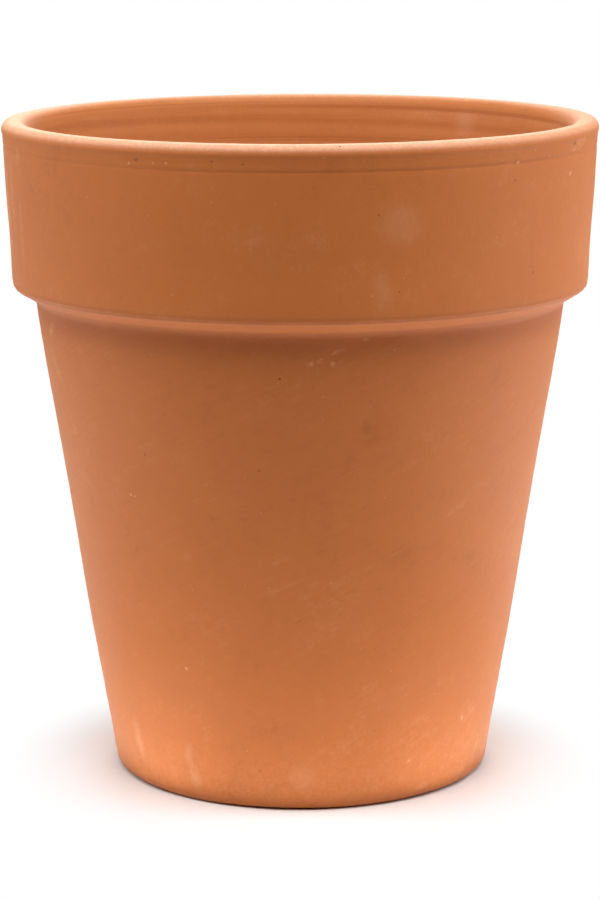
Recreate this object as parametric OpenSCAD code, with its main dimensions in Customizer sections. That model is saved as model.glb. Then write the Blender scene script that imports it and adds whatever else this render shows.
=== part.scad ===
// Deep-collared terracotta flower pot: one body of fired clay, turned about the Z axis.
// The ground is at Z = 0, and the origin is on the axis, under the middle of the foot.

/* [Overall size] */
// Outside diameter across the lip, the widest part of the pot
rim_d = 210; // [204:1:240]
// Height from the ground to the top of the lip
pot_h = 234; // [200:1:280]
// Outside diameter that the wall's straight line would have at the ground
foot_d = 134; // [116:1:150]

/* [Lip] */
// Thickness of the clay just under the lip's rounded top
lip_t = 8.7; // [7.6:0.1:12]
// Radius of the lip's outer edge
lip_outer_r = 3.2; // [1.5:0.1:3.6]
// Radius of the lip's inner edge
lip_inner_r = 3.6; // [1.5:0.1:3.8]
// Height of the upright band below the lip's outer edge
lip_band_h = 1; // [0.5:0.5:4]

/* [Collar] */
// Height of the collar, from its lower edge to the top of the lip
collar_h = 58; // [40:1:80]
// Outside diameter of the collar at its lower edge
collar_low_d = 204.6; // [200:0.2:208]
// Height of the slope that leads from the collar's lower edge in to the wall
slope_h = 5; // [3:0.5:9]
// Radius of the collar's lower edge
edge_r = 1.5; // [0.5:0.1:2.5]

/* [Wall and floor] */
// Outside diameter of the wall just under the collar
neck_d = 188.8; // [180:0.2:192]
// Thickness of the wall just under the collar, measured level
wall_t = 8.2; // [6:0.1:10]
// Thickness of the floor over the recess under the pot
floor_t = 8.5; // [6:0.5:12]
// Radius of the outside corner at the foot
foot_r = 3.5; // [1:0.5:5]
// Radius of the inside corner between the wall and the floor
well_r = 7; // [3:0.5:10]

/* [Drainage and underside] */
// Diameter of the drainage hole in the middle of the floor
hole_d = 26; // [12:1:40]
// Depth of the recess under the floor, which leaves a flat ring to stand on
recess_h = 1.5; // [0.5:0.1:3]
// Width of the flat ring, from the recess to the foot's outer corner
ring_w = 14; // [8:1:20]

/* [Hidden] */
clay = [0.80, 0.46, 0.28];
facets = 180;
corner_steps = 8;

rim_r = rim_d / 2;
neck_r = neck_d / 2;
collar_low_r = collar_low_d / 2;
edge_z = pot_h - collar_h;
neck_z = edge_z - slope_h;
floor_z = recess_h + floor_t;
ring_r = foot_d / 2 - ring_w;

// The inner wall is one straight cone: it passes wall_t inside the neck and lip_t inside the lip.
cavity_slope = (rim_r - lip_t - neck_r + wall_t) / (pot_h - neck_z);
function cavity_r(z) = neck_r - wall_t + cavity_slope * (z - neck_z);

function unit(v) = v / norm(v);

// The corner p between its neighbours a and b, replaced by an arc of radius r that touches both sides.
function fillet(a, p, b, r) =
    r == 0 ? [p] :
    let (
        u = unit(a - p),
        v = unit(b - p),
        half = acos(u * v) / 2,
        centre = p + unit(u + v) * r / sin(half),
        from = p + u * r / tan(half) - centre,
        to = p + v * r / tan(half) - centre,
        start = atan2(from.y, from.x),
        turn = atan2(cross(from, to), from * to)
    )
    [
        for (i = [0 : corner_steps])
            let (angle = start + turn * i / corner_steps)
            centre + r * [cos(angle), sin(angle)]
    ];

// A closed outline from a list of corners, each given as [radius from the axis, height, fillet radius].
function outline(corners) =
    let (count = len(corners))
    [
        for (i = [0 : count - 1])
            let (
                before = corners[(i + count - 1) % count],
                here = corners[i],
                after = corners[(i + 1) % count]
            )
            each fillet(
                [before[0], before[1]],
                [here[0], here[1]],
                [after[0], after[1]],
                here[2]
            )
    ];

// Half of the pot's section, from the recess under it, up the outside, over the lip and down inside.
section = [
    [0, recess_h, 0],
    [ring_r - recess_h, recess_h, 0],
    [ring_r, 0, 0],
    [foot_d / 2, 0, foot_r],
    [neck_r, neck_z, 0],
    [collar_low_r, edge_z, edge_r],
    [rim_r, pot_h - lip_outer_r - lip_band_h, 0],
    [rim_r, pot_h, lip_outer_r],
    [rim_r - lip_t, pot_h, lip_inner_r],
    [cavity_r(floor_z), floor_z, well_r],
    [0, floor_z, 0]
];

module clay_body() {
    rotate_extrude($fn = facets)
        polygon(outline(section));
}

module drainage_hole() {
    cylinder(h = 3 * floor_z, d = hole_d, center = true, $fn = facets);
}

module pot() {
    color(clay)
        difference() {
            clay_body();
            drainage_hole();
        }
}

pot();
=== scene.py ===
import math

import bpy
import numpy as np
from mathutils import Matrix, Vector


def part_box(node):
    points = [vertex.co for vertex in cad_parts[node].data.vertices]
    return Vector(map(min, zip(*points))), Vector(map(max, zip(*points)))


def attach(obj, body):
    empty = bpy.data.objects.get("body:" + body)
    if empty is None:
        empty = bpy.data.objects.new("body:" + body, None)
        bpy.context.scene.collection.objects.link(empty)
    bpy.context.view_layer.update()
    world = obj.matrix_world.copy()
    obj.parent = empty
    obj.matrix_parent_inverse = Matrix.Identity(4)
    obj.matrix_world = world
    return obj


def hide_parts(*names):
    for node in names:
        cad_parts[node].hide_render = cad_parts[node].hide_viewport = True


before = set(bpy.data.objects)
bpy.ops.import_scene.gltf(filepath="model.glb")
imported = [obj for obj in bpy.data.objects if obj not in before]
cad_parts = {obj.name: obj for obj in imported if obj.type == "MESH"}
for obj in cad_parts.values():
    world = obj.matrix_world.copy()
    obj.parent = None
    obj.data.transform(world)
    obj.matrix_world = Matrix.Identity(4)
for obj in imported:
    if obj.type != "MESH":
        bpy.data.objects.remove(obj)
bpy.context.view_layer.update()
potLow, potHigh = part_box("pot")
mm = 0.001
rimRadius = (potHigh.x - potLow.x) / 2 / mm
potHeight = (potHigh.z - potLow.z) / mm
potWidth = round(2 * rimRadius)
print("frame loaded: the pot is", potWidth, "mm across and", round(potHeight), "mm high")


# Smooth step from 0 to 1 while value goes from low to high: 3t² - 2t³.
def ease(value, low, high):
    t = np.clip((value - low) / (high - low), 0, 1)
    return t * t * (3 - 2 * t)


# Bell curve: e^-(distance / width)².
def bell(distance, width):
    return np.exp(-((distance / width) ** 2))


# The shorter way round from place to angle: (angle - place + pi) mod 2 pi - pi.
def around(angle, place):
    return (angle - place + math.pi) % (2 * math.pi) - math.pi


# The pot's section, in mm. A user changes its sizes here; rim and height come from the frame.
potShape = {
    "columns": 252,          # points round the pot
    "cornerRows": 7,         # points in each rounded corner
    "holeRadius": 13.0,
    "recess": 1.5,           # hollow under the floor
    "recessRadius": 51.5,
    "footRadius": 66.9,
    "neckRadius": 94.3,
    "neckHeight": 171.2,
    "collarLowRadius": 102.2,
    "collarLowHeight": 175.9,
    "lipThickness": 8.6,
    "wellRadius": 60.1,      # inner wall at the floor
    "wellHeight": 10.0,
    "ringReach": 90,         # depth below the lip to which the inner rows lie close together
}


# The corners of the section from the hole's lower edge outwards, up the outside, over the lip and
# down inside, as (radius, height, cut before, cut after, gap between the rows that follow).
# The inner wall is a straight line, with one more corner where its rows start to lie further apart.
def potCorners(shape, rim, top):
    recess, low = shape["recess"], shape["wellHeight"]
    well, hole = shape["wellRadius"], shape["holeRadius"]
    innerTop = rim - shape["lipThickness"]
    innerSlope = (innerTop - well) / (top - low)
    rings = top - shape["ringReach"]
    return [
        (hole, recess, 1.1, 1.1, 3.2),
        (shape["recessRadius"], recess, 0.8, 0.8, 0.8),
        (shape["recessRadius"] + recess, 0, 0.5, 0.5, 2.4),
        (shape["footRadius"], 0, 3.2, 3.8, 1.9),
        (shape["neckRadius"], shape["neckHeight"], 2.0, 1.7, 0.5),
        (shape["collarLowRadius"], shape["collarLowHeight"], 1.0, 1.2, 1.1),
        (rim - 0.55, top - 9.0, 0.4, 0.4, 0.55),
        (rim - 0.25, top - 4.2, 0.25, 0.25, 0.4),
        (rim, top - 3.3, 0.3, 0.25, 0.4),
        (rim, top + 0.2, 3.1, 2.8, 0.6),
        (innerTop, top + 0.2, 3.5, 4.0, 1.2),
        (well + innerSlope * (rings - low), rings, 0.5, 0.5, 2.7),
        (well, low, 7.0, 7.0, 3.2),
        (hole, low, 1.4, 1.4, 1.3),
    ]


# A closed line of (radius, height) points. Each corner is a quarter of an ellipse from a to b, the
# points where it leaves its two sides: centre + (a - centre) cos t + (b - centre) sin t, with its
# centre at a + b - corner. The side that follows is cut into equal rows.
def roundedSection(corners, steps):
    spots = np.array([corner[:2] for corner in corners])
    turn = np.linspace(0, math.pi / 2, steps)[:, None]
    rows = []
    for i, (_, _, before, after, gap) in enumerate(corners):
        following = (i + 1) % len(corners)
        here, last, coming = spots[i], spots[i - 1], spots[following]
        ahead = (coming - here) / np.linalg.norm(coming - here)
        a = here + (last - here) / np.linalg.norm(last - here) * before
        b = here + ahead * after
        centre = a + b - here
        rows.append(centre + (a - centre) * np.cos(turn) + (b - centre) * np.sin(turn))
        length = np.linalg.norm(coming - here) - after - corners[following][2]
        count = max(1, round(length / gap))
        rows.append(b + ahead * (np.arange(1, count) / count * length)[:, None])
    return np.vstack(rows)


# What the maker's hands and tools leave on the clay, all in mm.
potRelief = {
    "seed": 41,
    "ringPitch": 6.4,        # finger rings inside, one turn of the wheel each
    "ringDepth": 0.16,
    "wipeRise": 40.0,        # how far a wipe mark climbs in one radian
    "wipeDepth": 0.016,
    "wipeWaves": 26,         # how many sines add up to them
    "lineHeight": 225.6,     # fine line under the lip, where the tool's edge ran
    "lineDepth": 0.16,
    "edgeDepth": 0.08,       # line along the collar's lower edge
    "edgeNicks": 70,         # small breaks along it
    "edgeRadius": 102,       # how far from the axis they lie
    "slowDepth": 0.16,       # unevenness that runs over whole sides
    "turningPitch": 3.9,     # turning marks on the floor and under it
    "outOfRound": 0.25,
    "lean": 0.4,             # how far the foot stands to the side of the rim
    "rimTilt": 0.42,         # the rim's +X side over its -X side, halved
    # The wall's slow swells and hollows, as amount, height and half width.
    "swells": [(0.34, 57, 27), (0.10, 145, 18), (-0.26, 171, 7), (-0.24, 191, 11), (0.08, 212, 9)],
}

# Dents and chips, as angle round the pot, height, half width, half height and depth.
potDents = [
    (-75.8, 140.0, 3.0, 5.0, 0.45),
    (-85.9, 160.8, 4.5, 1.3, 0.30),
    (-82.3, 165.2, 2.6, 1.2, 0.25),
    (-76.8, 169.4, 1.6, 1.2, 0.25),
    (-28.0, 228.2, 2.2, 1.4, 0.35),
    (-120.8, 228.0, 1.6, 1.2, 0.30),
    (-153.7, 122.8, 2.4, 2.0, 0.25),
    (-23.0, 2.8, 4.0, 2.0, 0.45),
    (38.0, 12.0, 5.0, 2.5, 0.50),
    (74.0, 96.0, 4.0, 6.0, 0.35),
    (121.0, 150.0, 5.0, 3.0, 0.30),
    (163.0, 231.5, 2.6, 1.8, 0.40),
    (104.0, 203.0, 3.0, 4.0, 0.30),
]


# How far the clay stands off the smooth section, along its outward direction. It adds up: the
# wall's slow swells; the rings inside, sin (2 pi height / pitch - angle); the wipe marks, a sum of
# sines of n (angle - height / rise) with whole n, so that they close round the pot; slow waves; the
# fine lines under the lip; the turning marks, sin (2 pi radius / pitch - angle); the hole's burr;
# and a bell-shaped hollow for each nick and dent.
def clayRelief(relief, dents, radius, height, outward, upward, angle):
    draw = np.random.default_rng(relief["seed"])
    outside = ease(outward, 0.25, 0.8)
    inside = ease(-outward, 0.25, 0.8) * ease(radius, 30, 40)
    below = ease(-upward, 0.3, 0.9)
    floor = ease(upward, 0.5, 0.9) * ease(-height, -40, -20)

    swell = sum(amount * bell(height - level, width) for amount, level, width in relief["swells"])
    total = outside * swell

    wander = draw.uniform(0, 2 * math.pi, 6)
    turns = 2 * math.pi * height / relief["ringPitch"] - angle
    turns = turns + 0.9 * np.sin(height / 17 + wander[0])
    turns = turns + 0.5 * np.sin(2 * angle + height / 31 + wander[1])
    patches = np.sin(angle + height / 12 + wander[2]) * np.sin(height / 29 + wander[3])
    strength = 0.62 + 0.38 * patches
    fade = 0.45 + 0.55 * ease(height, 60, 190)
    rings = (np.sin(turns) + 0.3 * np.sin(2 * turns + 0.7)) * strength * fade
    total = total + inside * relief["ringDepth"] * rings * ease(-height, -231, -227)

    wipes = 0
    for wave in range(relief["wipeWaves"]):
        count = int(draw.integers(9, 66))
        start, slow = draw.uniform(0, 2 * math.pi, 2)
        lean = angle - height / relief["wipeRise"]
        swing = 0.5 + 0.5 * np.sin((1 + wave % 3) * angle + height / (18 + wave) + slow)
        wipes = wipes + np.sin(count * lean + start) * swing / math.sqrt(1 + count / 20)
    total = total + outside * relief["wipeDepth"] * wipes * (1 - 0.85 * ease(height, 172, 178))

    slowWaves = 0
    for count in (2, 3, 5, 8, 13):
        a, b = draw.uniform(0, 2 * math.pi, 2)
        climb = np.sin(height / (60 / count + 9) + b)
        slowWaves = slowWaves + np.sin(count * angle + a) * climb / count
    total = total + relief["slowDepth"] * slowWaves * (outside + inside)

    line = relief["lineHeight"] + 0.25 * np.sin(angle + wander[4])
    groove = bell(height - line, 0.55) + 0.4 * bell(height - line - 2.1, 0.5)
    groove = groove + 0.4 * bell(height - line - 3.5, 0.5)
    total = total - outside * relief["lineDepth"] * groove
    total = total - outside * relief["edgeDepth"] * bell(height - 177.2, 0.7)

    marks = np.sin(2 * math.pi * radius / relief["turningPitch"] - angle)
    marks = marks * (0.6 + 0.4 * np.sin(3 * angle + wander[5]))
    total = total + (below * 0.05 + floor * 0.09) * marks * ease(radius, 17, 24)
    footWaves = np.sin(5 * angle + wander[0]) * np.sin(2 * angle) * bell(radius - 60, 9)
    total = total + below * 0.22 * footWaves

    hole = bell(radius - potShape["holeRadius"], 1.6) * ease(-height, -13, -11)
    burr = 0.22 * np.sin(7 * angle + wander[1]) + 0.16 * np.sin(12 * angle + wander[2])
    total = total + hole * burr

    nicks = draw.uniform(0, 2 * math.pi, relief["edgeNicks"])
    for place in nicks:
        width, size = draw.uniform(0.8, 3.2), draw.uniform(0.05, 0.28)
        apart = around(angle, place) * relief["edgeRadius"]
        nick = bell(apart, width) * bell(height - draw.uniform(174.0, 176.8), 0.8)
        total = total - outside * size * nick

    for turned, level, wide, tall, depth in dents:
        apart = around(angle, math.radians(turned)) * radius
        total = total - outside * depth * bell(apart, wide) * bell(height - level, tall)
    return total


# Painted shade: where the clay is painted darker, from 0 to 1. It adds up bells for the fine lines
# under the lip and the line along the collar's lower edge, and smooth steps for the collar's slope
# and the nook below it, where shade falls.
def paintedShade(relief, outward, height, angle):
    outside = ease(outward, 0.25, 0.8)
    line = relief["lineHeight"] + 0.25 * np.sin(angle + 1.3)
    lines = bell(height - line, 0.5)
    lines = lines + 0.25 * bell(height - 226.9, 0.5) + 0.25 * bell(height - 228.4, 0.5)
    uneven = 0.25 + 0.75 * ease(np.sin(2 * angle + 4.2) + 0.3 * np.sin(5 * angle), -0.3, 0.7)
    edge = 0.36 * bell(height - 177.0, 0.5)
    nook = 0.62 * ease(height, 160, 169) * (1 - ease(height, 170.6, 173.0))
    slope = 0.75 * ease(height, 171.0, 172.5) * (1 - ease(height, 175.5, 176.5))
    return np.clip(outside * (0.46 * lines * uneven + edge + nook + slope), 0, 1)


# Puts a closed grid of points into a new mesh object: rows run round the section and columns round
# the axis, and both ends meet, so there is no seam and no pole. Each face joins (i, j), (i, j + 1),
# (i + 1, j + 1) and (i + 1, j). Values become attributes of the points.
def ringMesh(name, points, values):
    rows, columns = points.shape[:2]
    i, j = np.meshgrid(np.arange(rows), np.arange(columns), indexing="ij")
    up, across = (i + 1) % rows, (j + 1) % columns
    corners = [i * columns + j, i * columns + across, up * columns + across, up * columns + j]
    faces = np.stack(corners, axis=-1).reshape(-1, 4)
    mesh = bpy.data.meshes.new(name)
    mesh.from_pydata(points.reshape(-1, 3).tolist(), [], faces.tolist())
    mesh.polygons.foreach_set("use_smooth", np.ones(len(faces), dtype=bool))
    for label, value in values.items():
        layer = mesh.attributes.new(label, "FLOAT", "POINT")
        layer.data.foreach_set("value", value.astype(np.float32).ravel())
    mesh.update()
    piece = bpy.data.objects.new(name, mesh)
    bpy.context.scene.collection.objects.link(piece)
    return piece


# The whole pot as one surface: x = reach cos angle, y = reach sin angle, z = height. The reach is
# the section's radius, pushed along its outward direction by the relief and bent by cos 2 angle;
# then the foot is shifted and the rim tilted by steps of the height.
def buildPot(shape, relief, dents):
    section = roundedSection(potCorners(shape, rimRadius, potHeight), shape["cornerRows"])
    along = np.roll(section, -1, axis=0) - np.roll(section, 1, axis=0)
    along = along / np.linalg.norm(along, axis=1)[:, None]
    radius, height = section[:, :1], section[:, 1:]
    outward, upward = along[:, 1:], -along[:, :1]
    angle = np.linspace(-math.pi, math.pi, shape["columns"], endpoint=False)[None, :]
    height = height + 0 * angle
    push = clayRelief(relief, dents, radius, height, outward, upward, angle)

    bend = relief["outOfRound"] * np.cos(2 * angle + 0.8) * ease(height, 20, 234)
    reach = radius + outward * push + bend
    x = reach * np.cos(angle) + relief["lean"] * (1 - ease(height, 0, 150))
    y = reach * np.sin(angle)
    z = height + upward * push
    z = z + relief["rimTilt"] * x / rimRadius * ease(height, 150, 234)
    z = np.maximum(z, 0)

    # Where each finish lies: the inside; the lip's top, pale from wear and a painted highlight; the
    # bevel's pale wear and a painted paling towards the foot; the underside; and the painted shade.
    inside = ease(-outward, -0.25, 0.5) * ease(radius, 20, 30)
    inside = inside + ease(upward, 0.6, 0.9) * (height < 100)
    # The lip's top and outer roll are pale from wear and from a painted highlight where light falls
    # on them; the highlight is painted stronger at the front and weaker at the right side and at
    # the back.
    crestWearAndHighlight = ease(upward + 0.3 * outward, 0.35, 1.0) * (height > 200)
    highlightByAngle = 1 + 0.16 * bell(angle + 1.6, 0.9) - 0.55 * bell(angle - 0.15, 0.75)
    crestWearAndHighlight = crestWearAndHighlight * (highlightByAngle - 0.40 * bell(angle - 2.2, 0.55) - 0.20 * bell(angle - 1.0, 0.45))
    # Pale wear on the bevel under the collar; towards the foot a painted paling, where the floor's
    # bounce light falls.
    corner = 0.6 * bell(height - 174.4, 2.0) * ease(outward, 0.3, 0.7)
    foot = 0.65 * bell(height - 6, 14) * ease(radius, 58, 64)
    values = {
        "inside": np.clip(inside, 0, 1) + 0 * angle,
        "crestWearAndHighlight": crestWearAndHighlight,
        "corner": np.clip(corner + foot, 0, 1) + 0 * angle,
        "below": ease(-upward, 0.6, 0.95) * (height < 8) + 0 * angle,
        "shade": paintedShade(relief, outward, height, angle),
    }
    print("pot:", section.shape[0], "rows by", shape["columns"], "columns")
    return ringMesh("clay_pot", np.stack([x, y, z], axis=-1) * mm, values), section


pot, potSection = buildPot(potShape, potRelief, potDents)
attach(pot, "root")
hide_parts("pot")


# One socket of a node. An expression on sockets and numbers adds the Math nodes that work it out.
class Signal:
    def __init__(self, socket):
        self.socket = socket

    def maths(self, operation, *terms):
        nodes = Finish(self.socket.id_data)
        return nodes.add("Math", {"operation": operation}, dict(enumerate(terms)))

    def __add__(self, other):
        return self.maths("ADD", self, other)

    def __sub__(self, other):
        return self.maths("SUBTRACT", self, other)

    def __rsub__(self, other):
        return self.maths("SUBTRACT", other, self)

    def __mul__(self, other):
        return self.maths("MULTIPLY", self, other)

    def __truediv__(self, other):
        return self.maths("DIVIDE", self, other)

    __radd__ = __add__
    __rmul__ = __mul__


# The nodes of a material or of the room. Each is added by its type, then its settings, then a value
# or a link for each socket.
class Finish:
    def __init__(self, tree):
        self.tree = tree

    def add(self, kind, settings=None, sockets=None, output=0):
        node = self.tree.nodes.new("ShaderNode" + kind)
        for name, value in (settings or {}).items():
            setattr(node, name, value)
        for name, value in (sockets or {}).items():
            if isinstance(value, Signal):
                self.tree.links.new(value.socket, node.inputs[name])
            else:
                node.inputs[name].default_value = value
        return Signal(node.outputs[output]) if node.outputs else node

    # Noise with a value near 0.5. Its scale is in blots to a metre where place is in metres.
    def noise(self, place, scale, detail=2, roughness=0.5):
        sockets = {"Vector": place, "Scale": scale, "Detail": detail, "Roughness": roughness}
        return self.add("TexNoise", None, sockets, "Fac")

    # 0 below low and 1 above high, with a smooth step between.
    def step(self, value, low, high):
        sockets = {"Value": value, "From Min": low, "From Max": high}
        return self.add("MapRange", {"interpolation_type": "SMOOTHSTEP"}, sockets)

    # First colour where the mask is 0, second where it is 1.
    def mix(self, mask, first, second):
        return self.add("Mix", {"data_type": "RGBA"}, {0: mask, 6: first, 7: second}, 2)

    def layer(self, name):
        return self.add("Attribute", {"attribute_name": name}, output="Fac")

    def arrow(self, operation, *terms, output=0):
        return self.add("VectorMath", {"operation": operation}, dict(enumerate(terms)), output)


# A new material with no nodes in it yet, as (material, its nodes).
def newFinish(name):
    material = bpy.data.materials.new(name)
    material.use_nodes = True
    material.node_tree.nodes.clear()
    return material, Finish(material.node_tree)


# Fired, unglazed clay. Colours are linear, and depths are in metres.
clayLook = {
    "base": (0.620, 0.182, 0.036, 1),
    "inner": (0.490, 0.200, 0.064, 1),
    "pale": (0.780, 0.330, 0.130, 1),
    "dark": (0.420, 0.108, 0.020, 1),
    "chalk": (0.820, 0.390, 0.165, 1),
    "lime": (0.800, 0.440, 0.240, 1),
    # Pale of the lip's worn top, which also carries its painted highlight.
    "wearAndHighlightPale": (0.930, 0.540, 0.345, 1),
    # Dark grit in the clay, and the painted shade in pores and pits.
    "darkGritAndPitShade": (0.280, 0.080, 0.024, 1),
    "roughness": 0.62,
    "grainDepth": 0.00004,
    "wipeDepth": 0.00007,
    "poreDepth": 0.00030,
    "gritDepth": 0.00005,
}

# The clay's uneven colour: the width of each noise's blots in mm, its detail and roughness, and how
# much it changes the tone.
clayNoise = {
    "blots": (46, 2, 0.5, 0.80),
    "cloud": (13, 3, 0.6, 0.85),
    "mottle": (3.6, 3, 0.65, 0.75),
    "grain": (1.1, 3, 0.7, 0.42),
}

# Grit and pores: width of the cells in mm, the share of them that have a spot, and the spot's inner
# and outer radius as parts of a cell.
claySpots = {
    "paleGrit": (2.6, 0.07, 0.05, 0.17),
    "darkGrit": (2.1, 0.08, 0.05, 0.16),
    "pores": (6.5, 0.12, 0.02, 0.08),
}

# Marks, as kind, angle, height, half width, half height, lean and strength. Dust lies inside the
# pot and the others outside; smudges and dust have soft edges.
clayMarks = [
    ("smudge", -71.6, 208.2, 12.0, 10.0, 0, 0.19),
    ("smudge", -74.9, 186.5, 5.5, 9.5, 8, 0.15),
    ("smudge", -89.1, 12.2, 7.5, 7.0, 0, 0.17),
    ("smudge", 61.0, 188.0, 9.0, 7.0, 0, 0.12),
    ("smudge", 128.0, 31.0, 8.0, 11.0, 12, 0.15),
    ("scuff", -87.9, 161.0, 1.7, 1.3, 30, 0.85),
    ("scuff", -85.8, 162.2, 1.3, 1.0, -20, 1.0),
    ("scuff", -83.2, 161.0, 1.4, 1.7, 0, 0.85),
    ("scuff", -82.3, 165.2, 3.2, 0.9, 20, 0.50),
    ("scuff", -76.8, 169.2, 2.2, 0.7, 5, 0.65),
    ("smudge", -145.0, 17.3, 3.4, 12.5, 8, 0.36),
    ("smudge", -123.9, 17.5, 2.6, 6.5, -8, 0.26),
    ("smudge", -122.4, 9.0, 3.2, 7.0, 10, 0.30),
    ("scuff", -157.9, 163.5, 6.0, 2.2, 40, 0.65),
    ("scuff", -158.5, 150.0, 3.0, 9.0, 20, 0.36),
    ("scuff", -154.0, 131.0, 2.2, 5.0, 24, 0.30),
    ("scuff", -169.5, 205.0, 6.0, 25.0, 2, 0.75),
    ("scuff", -163.0, 210.0, 2.8, 16.0, 0, 0.60),
    ("scuff", -158.0, 197.0, 1.6, 17.0, -2, 0.45),
    ("scuff", -157.5, 224.0, 3.4, 4.0, 0, 0.40),
    ("dust", 49.0, 225.0, 7.5, 8.0, 0, 0.22),
    ("scuff", -24.5, 14.0, 1.8, 4.4, -12, 0.60),
    ("scuff", -33.0, 6.0, 3.6, 1.5, 12, 0.65),
    ("scuff", -51.2, 4.6, 4.0, 1.3, 10, 0.65),
    ("scuff", -25.0, 229.2, 9.0, 2.4, 12, 0.65),
    ("scuff", 31.0, 226.0, 6.0, 3.0, 15, 0.42),
    ("scuff", 88.0, 40.0, 3.0, 12.0, -10, 0.36),
    ("scuff", 152.0, 120.0, 5.0, 4.0, 25, 0.34),
    ("fleck", -133.0, 110.9, 0.8, 0.6, 30, 0.60),
    ("fleck", -131.9, 110.6, 0.6, 0.6, 0, 0.45),
    ("fleck", -121.5, 50.1, 0.8, 0.8, 0, 0.50),
    ("fleck", -56.9, 15.4, 0.9, 0.8, 0, 0.50),
    ("fleck", -37.0, 26.6, 0.7, 1.4, 0, 0.55),
    ("fleck", -122.3, 226.9, 0.7, 0.6, 0, 0.50),
    ("fleck", -117.2, 227.4, 0.6, 0.6, 0, 0.40),
    ("fleck", -114.6, 227.6, 0.7, 0.6, 0, 0.40),
    ("fleck", -46.4, 225.9, 0.9, 0.6, 0, 0.55),
    ("fleck", -28.9, 219.6, 1.3, 0.9, 20, 0.60),
    ("pit", -98.9, 124.2, 0.7, 0.7, 0, 0.55),
    ("pit", -120.8, 228.0, 1.2, 0.7, 10, 0.60),
    ("pit", -105.7, 228.5, 0.7, 0.6, 0, 0.60),
    ("pit", -100.2, 227.8, 0.7, 0.6, 0, 0.50),
    ("pit", -27.6, 229.6, 1.6, 1.0, 0, 0.60),
    ("pit", -75.6, 139.0, 2.0, 2.8, 20, 0.26),
]


# The outside of the section, from the foot to the lip, tells a mark how far from the axis it is.
outerSide = potSection[potSection[:, 0] > potShape["footRadius"] - 0.9]
potProfile = outerSide[: int(np.argmax(outerSide[:, 1]))]
markDepth = 4.5              # how deep into the clay a mark reaches, in mm


# A mask for one mark: 1 at its middle and 0 past its edge, which noise makes ragged. The Mapping
# node turns and scales space so that the mark is a ball of radius 1 standing on the clay, and the
# mask is a smooth step of 1 - distance from the middle + noise.
def markMask(clay, place, edge, inward, angle, height, wide, tall, lean, strength):
    reach = float(np.interp(height, potProfile[:, 1], potProfile[:, 0])) - inward
    turned = math.radians(angle)
    settings = {"vector_type": "TEXTURE"}
    sockets = {
        "Vector": place,
        "Location": (reach * mm * math.cos(turned), reach * mm * math.sin(turned), height * mm),
        "Rotation": (math.radians(lean), 0, turned),
        "Scale": (markDepth * mm, wide * mm, tall * mm),
    }
    length = clay.arrow("LENGTH", clay.add("Mapping", settings, sockets), output="Value")
    return clay.step(1 - length + edge[0], 0.0, edge[1]) * strength


# One round spot in some of the cells of a Voronoi pattern: a smooth step down of the distance from
# the cell's middle, in the cells whose random number is over 1 - share.
def spotMask(clay, place, cell, share, small, large):
    sockets = {"Vector": place, "Scale": 1 / (cell * mm)}
    far = clay.add("TexVoronoi", None, sockets, "Distance")
    paint = clay.add("TexVoronoi", None, sockets, "Color")
    lot = clay.add("SeparateColor", None, {0: paint}, "Red")
    return clay.step(far, large, small) * clay.step(lot, 1 - share, 1.02 - share)


# Wipe marks over the wall, near 0. The ring is the direction from the axis; turned by
# -height / rise, noise on it runs along lines of angle - height / rise, as the wipe did.
def wipeStreaks(clay, place, level, outside):
    ring = clay.arrow("NORMALIZE", clay.arrow("MULTIPLY", place, (1, 1, 0)))
    sockets = {"Vector": ring, "Angle": level / (-potRelief["wipeRise"] * mm)}
    turned = clay.add("VectorRotate", {"rotation_type": "Z_AXIS"}, sockets)
    lengthwise = clay.arrow("MULTIPLY", place, (0, 0, 90))
    broad = clay.arrow("ADD", clay.arrow("MULTIPLY", turned, (26, 26, 0)), lengthwise)
    fine = clay.arrow("ADD", clay.arrow("MULTIPLY", turned, (60, 60, 0)), lengthwise)
    collar = clay.step(level, 171 * mm, 173 * mm)
    lines = (clay.noise(broad, 1.0, 3, 0.6) - 0.5) + (clay.noise(fine, 1.3, 3, 0.6) - 0.5) * 0.7
    return lines * outside * (1 - collar * 0.85)


# The masks of all the marks, added up by kind. Noise less 0.5 makes their edges ragged.
def markMasks(clay, place, marks, inside, outside):
    ragged = (clay.noise(place, 1 / (1.6 * mm), 3, 0.7) - 0.5) * 1.5
    masks = {"smudge": 0.0, "scuff": 0.0, "fleck": 0.0, "pit": 0.0, "dust": 0.0}
    for kind, *shape in marks:
        edge = (ragged * 0.4, 0.95) if kind in ("smudge", "dust") else (ragged, 0.55)
        inward = potShape["lipThickness"] if kind == "dust" else 0
        masks[kind] = markMask(clay, place, edge, inward, *shape) + masks[kind]
    return {kind: mask * (inside if kind == "dust" else outside) for kind, mask in masks.items()}


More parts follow.
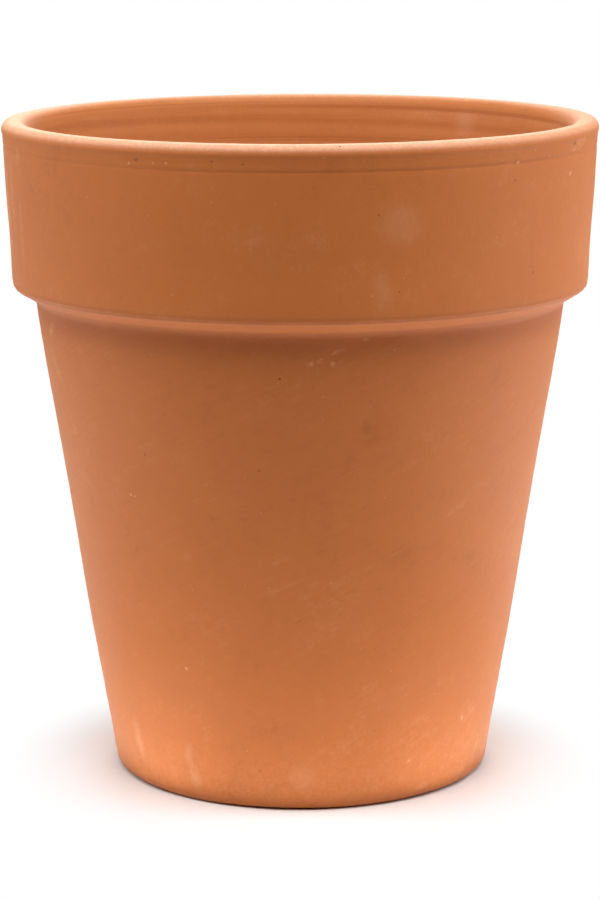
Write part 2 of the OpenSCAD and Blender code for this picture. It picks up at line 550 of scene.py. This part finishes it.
# The fired clay's material, all on the object's own coordinates and the piece's attributes. The
# tone is a sum of noises less 0.5, each times its weight; it leans the base colour to pale or dark.
def clayFinish(look, noises, spots, marks):
    material, clay = newFinish("terracotta_clay")
    place = clay.add("TexCoord", output="Object")
    level = clay.add("SeparateXYZ", None, {0: place}, "Z")
    layers = ("inside", "crestWearAndHighlight", "corner", "below", "shade")
    inside, crestWearAndHighlight, corner, below, shade = [clay.layer(name) for name in layers]
    outside = 1 - inside

    uneven = {name: clay.noise(place, 1 / (size * mm), detail, roughness)
              for name, (size, detail, roughness, _) in noises.items()}
    cloud, mottle, grain = uneven["cloud"], uneven["mottle"], uneven["grain"]
    dust = clay.noise(place, 1 / (0.42 * mm), 2, 0.6)
    streaks = wipeStreaks(clay, place, level, outside)
    # Bands along the throwing rings inside: in the colour they paint the rings' light and shade,
    # and in the height they are relief.
    ringLines = clay.noise(clay.arrow("MULTIPLY", place, (4, 4, 260)), 1.0, 3)
    ringGrooveShade = clay.noise(clay.arrow("MULTIPLY", place, (2.5, 2.5, 430)), 1.0, 2)
    paleGrit, darkGrit, pores = [spotMask(clay, place, *spot) for spot in spots.values()]
    masks = markMasks(clay, place, marks, inside, outside)

    # Colour, from the widest changes to the smallest.
    tone = sum((uneven[name] - 0.5) * weight for name, (*_, weight) in noises.items())
    # Inside, the ring bands add painted light and shade to the tone.
    tone = tone + streaks * 0.44 + (ringLines - 0.5) * inside * 1.9 + (dust - 0.5) * 0.2
    colour = clay.mix(clay.step(tone, 0.0, 1.1), look["base"], look["pale"])
    colour = clay.mix(clay.step(tone, 0.0, -1.1), colour, look["dark"])
    rub = clay.step(grain + mottle * 0.6, 0.55, 1.15)
    colour = clay.mix(inside * 0.4, colour, look["inner"])
    colour = clay.mix(masks["dust"], colour, look["lime"])
    # Painted shade in the thin grooves of the rings inside.
    colour = clay.mix(inside * clay.step(ringGrooveShade, 0.56, 0.66) * 0.42, colour, look["dark"])
    # The lip's top: pale wear and a painted highlight.
    colour = clay.mix(crestWearAndHighlight * (0.57 + rub * 0.34), colour, look["wearAndHighlightPale"])
    # Pale wear on the bevel, and a painted paling towards the foot where the floor's bounce light
    # falls.
    colour = clay.mix(corner * (0.15 + rub * 0.4), colour, look["pale"])
    patches = clay.step(cloud + grain * 0.4, 0.45, 0.95)
    colour = clay.mix(below * patches * 0.4, colour, look["pale"])
    # Painted shade under the lip, along the collar's lower edge, on its bevel and in the nook under
    # it.
    colour = clay.mix(shade * 0.9, colour, look["dark"])
    colour = clay.mix(masks["smudge"] * (0.6 + mottle * 0.6), colour, look["lime"])
    colour = clay.mix(masks["scuff"] * rub, colour, look["chalk"])
    colour = clay.mix(masks["fleck"], colour, look["lime"])
    colour = clay.mix(paleGrit * 0.35, colour, look["lime"])
    colour = clay.mix(darkGrit * 0.30, colour, look["darkGritAndPitShade"])
    # Painted shade in the pores and pits.
    colour = clay.mix(pores * 0.6 + masks["pit"] * 0.8, colour, look["darkGritAndPitShade"])

    roughness = look["roughness"] + (grain - 0.5) * 0.22 + (cloud - 0.5) * 0.10 + crestWearAndHighlight * 0.04

    # Height of the surface, in metres.
    lift = (grain - 0.5) * 1.6 + (dust - 0.5) * 0.8 + (mottle - 0.5) * 1.5
    lift = lift * look["grainDepth"]
    lift = lift + (streaks + (ringLines - 0.5) * inside * 1.5) * look["wipeDepth"]
    lift = lift - (pores + masks["pit"] + masks["fleck"] * 0.5) * look["poreDepth"]
    lift = lift + (paleGrit * 0.8 - darkGrit) * look["gritDepth"]
    bumped = clay.add("Bump", None, {"Strength": 1.0, "Distance": 1.0, "Height": lift}, "Normal")

    sockets = {
        "Base Color": colour,
        "Roughness": roughness,
        "Normal": bumped,
        "Diffuse Roughness": 0.6,
        "IOR": 1.5,
        "Specular IOR Level": 0.25,
        "Sheen Weight": 0.08,
        "Sheen Roughness": 0.5,
    }
    shader = clay.add("BsdfPrincipled", None, sockets)
    clay.add("OutputMaterial", None, {"Surface": shader})
    return material


pot.data.materials.append(clayFinish(clayLook, clayNoise, claySpots, clayMarks))
print("clay finish made")


# The floor and the light round the pot; sizes are in pot heights.
studio = {
    "floorReach": 60.0,
    "floorRings": 24,
    "floorColour": (0.90, 0.90, 0.90, 1),
    "shadowStart": 0.28,     # the foot's shadow fades out between these distances from the axis
    "shadowEnd": 0.47,
    "backdrop": 1.0,
}

# Soft panels round the pot: azimuth from the front, elevation, distance, width, height and watts.
studioLights = {
    "rightLow": (90, 8, 4.2, 2.2, 1.6, 0.35),
    "rightHigh": (90, 30, 4.2, 2.2, 2.6, 3.90),
    "leftHigh": (-90, 30, 4.2, 2.2, 2.6, 3.65),
    "back": (180, 20, 4.2, 2.2, 2.2, 3.90),
    "topRight": (60, 65, 3.2, 1.5, 1.5, 2.06),
    "topLeft": (-60, 65, 3.2, 1.5, 1.5, 2.07),
    "topFront": (0, 65, 3.2, 1.5, 1.5, 2.38),
}

# The glow of the pale table round the foot: azimuth, distance from the axis, width, depth, watts.
tableGlow = {
    "glowFront": (0, 0.44, 0.4, 0.26, 0.017),
    "glowFrontRight": (45, 0.44, 0.4, 0.26, 0.031),
    "glowFrontLeft": (-45, 0.44, 0.4, 0.26, 0.032),
    "glowRight": (90, 0.44, 0.4, 0.26, 0.016),
    "glowLeft": (-90, 0.44, 0.4, 0.26, 0.013),
    "glowBackRight": (130, 0.52, 0.5, 0.34, 0.017),
    "glowBackLeft": (-130, 0.52, 0.5, 0.34, 0.017),
    "glowFarRight": (90, 1.4, 1.6, 1.0, 0.76),
    "glowFarLeft": (-90, 1.4, 1.6, 1.0, 0.34),
}


# A flat disc: rings of points whose radius is reach (i / rings)², round a middle point.
def buildFloor(look, size):
    rings, columns = look["floorRings"], 96
    angle = np.linspace(0, 2 * math.pi, columns, endpoint=False)[None, :]
    reach = look["floorReach"] * size * (np.arange(1, rings + 1)[:, None] / rings) ** 2
    x, y = reach * np.cos(angle), reach * np.sin(angle)
    points = np.vstack([[[0, 0, 0]], np.stack([x, y, 0 * x], axis=-1).reshape(-1, 3)])
    i, j = np.meshgrid(np.arange(rings - 1), np.arange(columns), indexing="ij")
    across = (j + 1) % columns
    quads = [1 + i * columns + j, 1 + (i + 1) * columns + j,
             1 + (i + 1) * columns + across, 1 + i * columns + across]
    middle = np.arange(columns)
    fan = np.stack([0 * middle, 1 + middle, 1 + (middle + 1) % columns], axis=-1)
    faces = fan.tolist() + np.stack(quads, axis=-1).reshape(-1, 4).tolist()
    mesh = bpy.data.meshes.new("studio_floor")
    mesh.from_pydata(points.tolist(), [], faces)
    floor = bpy.data.objects.new("studio_floor", mesh)
    bpy.context.scene.collection.objects.link(floor)
    return floor


# Pale card near the pot that fades into the plain backdrop's own white further out.
def floorFinish(look, size):
    material, card = newFinish("pale_card")
    away = card.arrow("LENGTH", card.add("TexCoord", output="Object"), output="Value")
    plain = card.add("BsdfDiffuse", None, {"Color": look["floorColour"]})
    white = card.add("Emission", None, {"Strength": look["backdrop"]})
    fade = card.step(away, look["shadowStart"] * size, look["shadowEnd"] * size)
    seen = card.add("LightPath", output="Is Camera Ray")
    shader = card.add("MixShader", None, {0: fade * seen, 1: plain, 2: white})
    card.add("OutputMaterial", None, {"Surface": shader})
    return material


floor = buildFloor(studio, potHeight * mm)
floor.data.materials.append(floorFinish(studio, potHeight * mm))


# A soft rectangular light, tilted and turned in degrees; its place and sizes are in pot heights.
def softPanel(name, place, tilt, turn, width, height, power):
    lamp = bpy.data.lights.new(name, "AREA")
    lamp.shape = "RECTANGLE"
    lamp.size, lamp.size_y = width * potHeight * mm, height * potHeight * mm
    lamp.energy = power
    holder = bpy.data.objects.new(name, lamp)
    holder.location = [part * potHeight * mm for part in place]
    holder.rotation_euler = (math.radians(tilt), 0, math.radians(turn))
    holder.visible_camera = False
    bpy.context.scene.collection.objects.link(holder)


for name, (azimuth, elevation, distance, width, height, power) in studioLights.items():
    a, e = math.radians(azimuth), math.radians(elevation)
    level, rise = distance * math.cos(e), distance * math.sin(e)
    place = (level * math.sin(a), -level * math.cos(a), 0.5 + rise)
    softPanel(name, place, 90 - elevation, azimuth, width, height, power)
for name, (azimuth, distance, width, depth, power) in tableGlow.items():
    a = math.radians(azimuth)
    place = (distance * math.sin(a), -distance * math.cos(a), 0.008)
    softPanel(name, place, 180, azimuth, width, depth, power)

# The room: an even pale backdrop to look at, which sheds no light, since the panels give it all.
world = bpy.data.worlds.new("studio")
bpy.context.scene.world = world
world.use_nodes = True
world.node_tree.nodes.clear()
room = Finish(world.node_tree)
shine = room.add("LightPath", output="Is Camera Ray") * studio["backdrop"]
paper = room.add("Background", None, {"Color": (1, 1, 1, 1), "Strength": shine})
room.add("OutputWorld", None, {"Surface": paper})
print("studio lit")

# The camera stands in front of the pot and a little above it; distances are in pot heights.
cameraPlace = {
    "distance": 4.681,
    "height": 1.4105,
    "aim": 0.4883,           # where its middle line meets the pot's axis
    "lens": 123.77,
}
lens = bpy.data.cameras.new("camera")
lens.lens = cameraPlace["lens"]
lens.sensor_width = 36
lens.clip_end = 100
camera = bpy.data.objects.new("camera", lens)
away, above = cameraPlace["distance"] * potHeight * mm, cameraPlace["height"] * potHeight * mm
camera.location = (0, -away, above)
fall = (cameraPlace["height"] - cameraPlace["aim"]) / cameraPlace["distance"]
camera.rotation_euler = (math.pi / 2 - math.atan(fall), 0, 0)
bpy.context.scene.collection.objects.link(camera)
bpy.context.scene.camera = camera
bpy.context.scene.view_settings.view_transform = "Standard"
print("camera placed")
